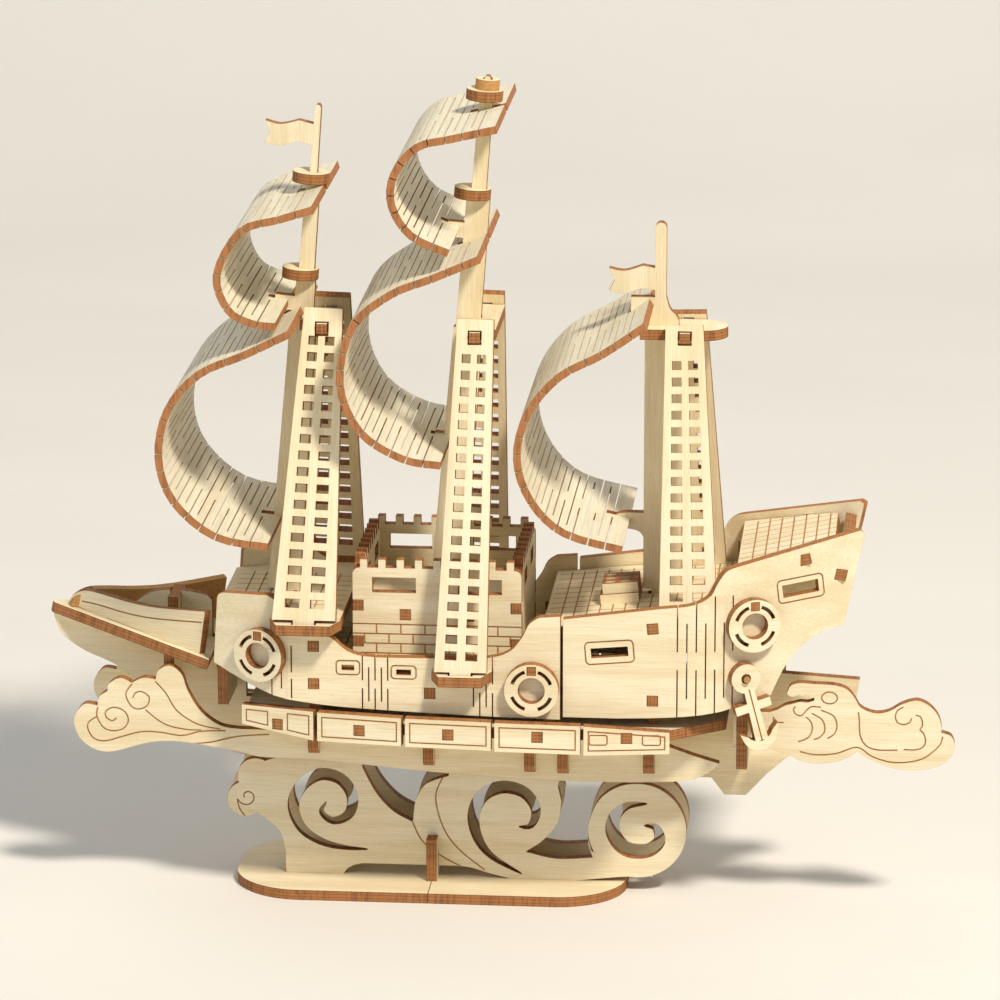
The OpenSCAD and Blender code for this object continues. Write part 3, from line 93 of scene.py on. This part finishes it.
def face_planes(d, places, facing, area):
    """Where a plate's two faces lie along its normal: the two planes with the most area."""
    sums = {}
    for k, f, a in zip(np.round(places / (0.05 * MM)).astype(int), facing, area):
        if f > 0.99:
            sums[k] = sums.get(k, 0.0) + a
    best = sorted(sums, key=sums.get)[-2:]
    if len(best) < 2 or abs(best[0] - best[1]) * 0.05 * MM < 1.5 * MM:
        return d.min(), d.max()
    return min(best) * 0.05 * MM, max(best) * 0.05 * MM


def mark_flat(o, along):
    """Marks a flat plate's polygons, and writes each vertex's place in the sheet."""
    co, corners, centre, normal, area = mesh_arrays(o.data)
    part = islands(co, corners)
    kind = np.full(len(corners), CUT)
    place = np.zeros_like(co)
    depth = np.zeros(len(co))
    for p in np.unique(part):
        mine = np.nonzero(part == p)[0]
        n = main_axis(normal[mine], area[mine])
        verts = np.unique(np.concatenate([corners[i] for i in mine]))
        d = co[verts] @ n
        lo, hi = face_planes(d, centre[mine] @ n, np.abs(normal[mine] @ n), area[mine])
        for i in mine:
            facing = abs(normal[i] @ n)
            c = centre[i] @ n
            inset = min(c - lo, hi - c)
            if facing > 0.9:
                kind[i] = ENGRAVED if 0.1 * MM < inset < 0.6 * MM else FACE
            else:
                dd = co[list(corners[i])] @ n
                if max(hi - dd.min(), 0) < 1.3 * GROOVE or max(dd.max() - lo, 0) < 1.3 * GROOVE:
                    kind[i] = ENGRAVED
        g, across = grain_axes(n, along)
        place[verts] = np.stack([co[verts] @ g, co[verts] @ across, d], 1)
        depth[verts] = np.clip(2 * (d - lo) / max(hi - lo, 1e-6) - 1, -1, 1)
    write_marks(o, kind, place, depth)


def mark_bent(o, thickness, facing, along):
    """Marks a bent sheet's polygons: facing(normal) says whether one can be a face."""
    co, corners, centre, normal, area = mesh_arrays(o.data)
    tree = BVHTree.FromPolygons([tuple(c) for c in co], corners)
    kind = np.full(len(corners), CUT)
    depth = np.zeros(len(co))
    lo, hi = co.min(0), co.max(0)
    for i, c in enumerate(corners):
        if not facing(normal[i]):
            continue
        start = Vector(centre[i] - normal[i] * 2e-5)
        hit = tree.ray_cast(start, Vector(-normal[i]), 2 * thickness)
        far = (hit[3] or 1.0) + 2e-5
        if far > thickness * 1.12:
            continue
        kind[i] = ENGRAVED if far < thickness - 0.5 * GROOVE else FACE
        side = 1.0 if normal[i] @ side_of(o, centre[i], lo, hi) > 0 else -1.0
        for v in c:
            depth[v] = side
    g = np.array(along, float)
    axes = [a for a in np.eye(3) if abs(a @ g) < 0.5]
    place = np.stack([co @ g, co @ axes[0], co @ axes[1]], 1)
    write_marks(o, kind, place, depth)


def side_of(o, at, lo, hi):
    """A rough outward direction of a bent sheet that spans lo to hi."""
    if o.name not in SAILS:
        return np.array([0.0, np.sign(at[1]), 0.0])
    if at[0] < (lo[0] + hi[0]) / 2:
        return np.array([-1.0, 0.0, 0.0])
    return np.array([0.0, 0.0, np.sign(at[2] - (lo[2] + hi[2]) / 2)])


def write_marks(o, kind, place, depth):
    mesh = o.data
    a = mesh.attributes.new("cut_kind", "FLOAT", "FACE")
    a.data.foreach_set("value", kind.astype(np.float32))
    a = mesh.attributes.new("grain_place", "FLOAT_VECTOR", "POINT")
    a.data.foreach_set("vector", (place * 1000).astype(np.float32).ravel())
    a = mesh.attributes.new("ply_depth", "FLOAT", "POINT")
    a.data.foreach_set("value", depth.astype(np.float32))


# ---- Materials ------------------------------------------------------------------------------

def srgb(r, g, b):
    return tuple((c / 255 / 12.92 if c <= 10.3 else ((c / 255 + 0.055) / 1.055) ** 2.4) for c in (r, g, b)) + (1.0,)


class Nodes:
    """Short names for building a node tree."""

    def __init__(self, tree):
        self.tree = tree

    def add(self, kind, **values):
        n = self.tree.nodes.new(kind)
        for k, v in values.items():
            setattr(n, k, v)
        return n

    def link(self, a, b):
        self.tree.links.new(a, b)

    def math(self, op, a, b=None, c=None, clamp=False):
        n = self.add("ShaderNodeMath", operation=op, use_clamp=clamp)
        for i, x in enumerate((a, b, c)):
            if x is None:
                continue
            if isinstance(x, (int, float)):
                n.inputs[i].default_value = x
            else:
                self.link(x, n.inputs[i])
        return n.outputs[0]

    def mix(self, fac, a, b, blend="MIX"):
        n = self.add("ShaderNodeMix", data_type="RGBA", blend_type=blend)
        for i, x in ((0, fac), (6, a), (7, b)):
            if isinstance(x, (int, float, tuple)):
                n.inputs[i].default_value = x
            else:
                self.link(x, n.inputs[i])
        return n.outputs[2]

    def ramp(self, x, stops):
        n = self.add("ShaderNodeMapRange")
        n.clamp = True
        n.interpolation_type = "SMOOTHSTEP"
        for i, v in zip((1, 2, 3, 4), stops):
            n.inputs[i].default_value = v
        self.link(x, n.inputs[0])
        return n.outputs[0]

    def noise(self, vector, scale, detail=3.0, rough=0.5, distort=0.0):
        n = self.add("ShaderNodeTexNoise")
        n.inputs["Scale"].default_value = scale
        n.inputs["Detail"].default_value = detail
        n.inputs["Roughness"].default_value = rough
        n.inputs["Distortion"].default_value = distort
        self.link(vector, n.inputs["Vector"])
        return n.outputs["Fac"]

    def stretch(self, vector, s):
        n = self.add("ShaderNodeVectorMath", operation="MULTIPLY")
        n.inputs[1].default_value = s
        self.link(vector, n.inputs[0])
        return n.outputs[0]


def plywood(name, face, face_dark, cut, cut_dark, engraved, halo, halo_r=0.26 * MM, rough=0.62):
    """Laser-cut plywood: pale faces with fine grain, burnt cut edges with plies, brown engraving."""
    mat = bpy.data.materials.new(name)
    mat.use_nodes = True
    t = Nodes(mat.node_tree)
    bsdf = mat.node_tree.nodes["Principled BSDF"]
    kind = t.add("ShaderNodeAttribute", attribute_name="cut_kind").outputs["Fac"]
    place = t.add("ShaderNodeAttribute", attribute_name="grain_place").outputs["Vector"]
    depth = t.add("ShaderNodeAttribute", attribute_name="ply_depth").outputs["Fac"]
    tint = t.add("ShaderNodeObjectInfo").outputs["Random"]
    shift = t.add("ShaderNodeVectorMath", operation="ADD")
    t.link(place, shift.inputs[0])
    offset = t.add("ShaderNodeCombineXYZ")
    for i, k in enumerate((91.0, 57.0, 23.0)):
        t.link(t.math("MULTIPLY", tint, k), offset.inputs[i])
    t.link(offset.outputs[0], shift.inputs[1])
    p = shift.outputs[0]
    # Grain of the face veneer: broad bands, fine fibres and short pores, all along the grain
    bands = t.noise(t.stretch(p, (0.012, 0.16, 0.16)), 1.0, 2.0, 0.5, 0.6)
    fibres = t.noise(t.stretch(p, (0.09, 2.6, 2.6)), 1.0, 3.0, 0.6)
    pores = t.noise(t.stretch(p, (0.5, 5.5, 5.5)), 1.0, 1.0, 0.5)
    pore_mask = t.ramp(pores, (0.66, 0.74, 0.0, 1.0))
    blotch = t.noise(t.stretch(p, (0.06, 0.06, 0.06)), 1.0, 2.0, 0.5)
    grain = t.math("ADD", t.math("MULTIPLY", bands, 0.5), t.math("MULTIPLY", fibres, 0.5))
    f = t.ramp(grain, (0.36, 0.66, 0.0, 1.0))
    face_col = t.mix(f, face, face_dark)
    face_col = t.mix(t.math("MULTIPLY", t.ramp(blotch, (0.45, 0.75, 0.0, 1.0)), 0.25), face_col, face_dark)
    face_col = t.mix(t.math("MULTIPLY", pore_mask, 0.22), face_col, cut)
    warm = t.math("MULTIPLY", t.math("SUBTRACT", tint, 0.5), 0.16)
    face_col = t.mix(t.math("ADD", 0.08, warm, clamp=True), face_col, face_dark)
    # A scorched line along each cut edge of a face
    bevel = t.add("ShaderNodeBevel", samples=6)
    bevel.inputs["Radius"].default_value = halo_r
    geo = t.add("ShaderNodeNewGeometry")
    dot = t.add("ShaderNodeVectorMath", operation="DOT_PRODUCT")
    t.link(bevel.outputs[0], dot.inputs[0])
    t.link(geo.outputs["True Normal"], dot.inputs[1])
    scorch = t.ramp(dot.outputs["Value"], (0.995, 0.80, 0.0, 1.0))
    uneven = t.noise(t.stretch(p, (0.35, 0.35, 0.35)), 1.0, 3.0, 0.6)
    scorch = t.math("MULTIPLY", scorch, t.ramp(uneven, (0.25, 0.65, 0.45, 1.0)))
    face_col = t.mix(scorch, face_col, halo)
    # Cut edges: three plies with dark glue lines, and streaks across them from the laser
    streaks = t.noise(t.stretch(p, (1.1, 1.1, 0.12)), 1.0, 3.0, 0.65)
    away = t.math("ABSOLUTE", depth)
    glue = t.math("SUBTRACT", 1.0, t.ramp(t.math("ABSOLUTE", t.math("SUBTRACT", away, 0.36)), (0.0, 0.14, 0.0, 1.0)))
    rim = t.ramp(away, (0.72, 1.0, 0.0, 1.0))
    dark = t.math("ADD", t.math("MULTIPLY", glue, 0.5), t.math("MULTIPLY", rim, 0.65))
    dark = t.math("ADD", dark, t.math("MULTIPLY", t.ramp(streaks, (0.42, 0.72, 0.0, 1.0)), 0.55), clamp=True)
    cut_col = t.mix(dark, cut, cut_dark)
    # Engraving: light brown with small dark burns
    eng = t.mix(t.ramp(t.noise(t.stretch(p, (1.6, 1.6, 1.6)), 1.0, 2.0, 0.6), (0.45, 0.75, 0.0, 0.35)), engraved, cut_dark)
    is_cut = t.ramp(t.math("ABSOLUTE", t.math("SUBTRACT", kind, CUT)), (0.45, 0.55, 1.0, 0.0))
    is_eng = t.ramp(kind, (1.45, 1.55, 0.0, 1.0))
    col = t.mix(is_cut, face_col, cut_col)
    col = t.mix(is_eng, col, eng)
    t.link(col, bsdf.inputs["Base Color"])
    r = t.math("ADD", rough, t.math("MULTIPLY", t.math("SUBTRACT", fibres, 0.5), 0.2))
    r = t.math("ADD", r, t.math("MULTIPLY", t.math("MAXIMUM", is_cut, is_eng), 0.12), clamp=True)
    t.link(r, bsdf.inputs["Roughness"])
    bsdf.inputs["Specular IOR Level"].default_value = 0.32
    bump = t.add("ShaderNodeBump")
    bump.inputs["Strength"].default_value = 0.35
    bump.inputs["Distance"].default_value = 0.00012
    height = t.mix(is_cut, t.math("SUBTRACT", fibres, t.math("MULTIPLY", pore_mask, 0.5)), streaks)
    t.link(height, bump.inputs["Height"])
    t.link(bump.outputs[0], bsdf.inputs["Normal"])
    return mat


PLYWOOD = plywood(
    "plywood", srgb(243, 231, 200), srgb(226, 207, 166), srgb(172, 116, 68), srgb(92, 54, 28),
    srgb(198, 148, 88), srgb(196, 150, 92))
SAIL_WOOD = plywood(
    "sail_plywood", srgb(236, 229, 207), srgb(216, 205, 176), srgb(176, 118, 72), srgb(88, 52, 30),
    srgb(160, 112, 64), srgb(170, 128, 82), halo_r=0.2 * MM)
PEG_WOOD = plywood(
    "peg_wood", srgb(196, 150, 96), srgb(170, 124, 74), srgb(160, 108, 62), srgb(96, 58, 32),
    srgb(150, 100, 56), srgb(130, 84, 46))

ACROSS = (0.0, 1.0, 0.0)
UP = (0.0, 0.0, 1.0)
LENGTH = (1.0, 0.0, 0.0)
TALL = ("foremast", "mainmast", "mizzenmast", "fore_shrouds", "main_shrouds", "mizzen_shrouds")
SIDEWAYS = ("frame_", "rib_", "crosstrees", "transom", "stand_brace", "castle_end_walls")

for name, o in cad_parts.items():
    if name in SAILS:
        mark_bent(o, SAIL_PLY, lambda n: abs(n[1]) < 0.5, ACROSS)
        mat = SAIL_WOOD
    elif name in BENT:
        mark_bent(o, PLY, lambda n: abs(n[1]) > 0.7, LENGTH)
        mat = PLYWOOD
    else:
        along = UP if name in TALL else ACROSS if name.startswith(SIDEWAYS) else LENGTH
        mark_flat(o, along)
        mat = PEG_WOOD if name == "anchor_pegs" else PLYWOOD
    o.data.materials.clear()
    o.data.materials.append(mat)
    for poly in o.data.polygons:
        poly.use_smooth = False


# ---- Floor, light and camera ----------------------------------------------------------------

def floor():
    """A pale tabletop that curves up into a backdrop well behind the ship."""
    depth, rise, half, bend, steps = 1.3, 1.5, 4.0, 0.5, 24
    profile = [(-2.2, 0.0)] + [
        (depth - bend + bend * math.sin(a), bend - bend * math.cos(a))
        for a in (math.pi / 2 * i / steps for i in range(steps + 1))] + [(depth, rise)]
    verts = [(x, y, z) for y, z in profile for x in (-half, half)]
    faces = [(2 * i, 2 * i + 1, 2 * i + 3, 2 * i + 2) for i in range(len(profile) - 1)]
    mesh = bpy.data.meshes.new("studio_floor")
    mesh.from_pydata(verts, [], faces)
    o = bpy.data.objects.new("studio_floor", mesh)
    bpy.context.scene.collection.objects.link(o)
    for poly in mesh.polygons:
        poly.use_smooth = True
    mat = bpy.data.materials.new("studio_floor")
    mat.use_nodes = True
    t = Nodes(mat.node_tree)
    bsdf = mat.node_tree.nodes["Principled BSDF"]
    place = t.add("ShaderNodeTexCoord").outputs["Object"]
    soft = t.noise(t.stretch(place, (3.0, 9.0, 3.0)), 1.0, 3.0)
    t.link(t.mix(soft, srgb(226, 222, 214), srgb(236, 233, 226)), bsdf.inputs["Base Color"])
    bsdf.inputs["Roughness"].default_value = 0.7
    mesh.materials.append(mat)


def area_light(name, place, target, size, power, colour):
    data = bpy.data.lights.new(name, "AREA")
    data.shape = "DISK"
    data.size = size
    data.energy = power
    data.color = colour
    o = bpy.data.objects.new(name, data)
    bpy.context.scene.collection.objects.link(o)
    o.location = place
    o.rotation_euler = (Vector(target) - Vector(place)).to_track_quat("-Z", "Y").to_euler()
    return o


TARGET = Vector((0.0147, 0.0, 0.114))
AZIMUTH, ELEVATION, DISTANCE = math.radians(5), math.radians(15), 1.6
SENSOR = 36.0

floor()
KEY_WAY = Vector((0.28, -0.35, 0.55)).normalized()
area_light("key", TARGET + KEY_WAY * 2.2, TARGET, 0.32, 53.0, (1.0, 0.93, 0.82))
area_light("fill", TARGET + Vector((-1.6, -1.7, 1.0)), TARGET, 1.8, 10.0, (0.86, 0.93, 1.0))
area_light("back", TARGET + Vector((-0.6, 1.0, 1.5)), TARGET, 1.4, 6.0, (1.0, 0.97, 0.92))

world = bpy.data.worlds.new("studio")
world.use_nodes = True
world.node_tree.nodes["Background"].inputs[0].default_value = (0.80, 0.88, 1.0, 1.0)
world.node_tree.nodes["Background"].inputs[1].default_value = 0.26
bpy.context.scene.world = world
bpy.context.scene.view_settings.view_transform = "Standard"

cam = bpy.data.cameras.new("photo_view")
cam.sensor_width = SENSOR
cam.lens = 5.6 * SENSOR
cam.clip_start, cam.clip_end = 0.05, 20.0
eye = bpy.data.objects.new("photo_view", cam)
bpy.context.scene.collection.objects.link(eye)
eye.location = TARGET + DISTANCE * Vector((
    math.sin(AZIMUTH) * math.cos(ELEVATION), -math.cos(AZIMUTH) * math.cos(ELEVATION), math.sin(ELEVATION)))
eye.rotation_euler = (TARGET - eye.location).to_track_quat("-Z", "Y").to_euler()
bpy.context.scene.camera = eye
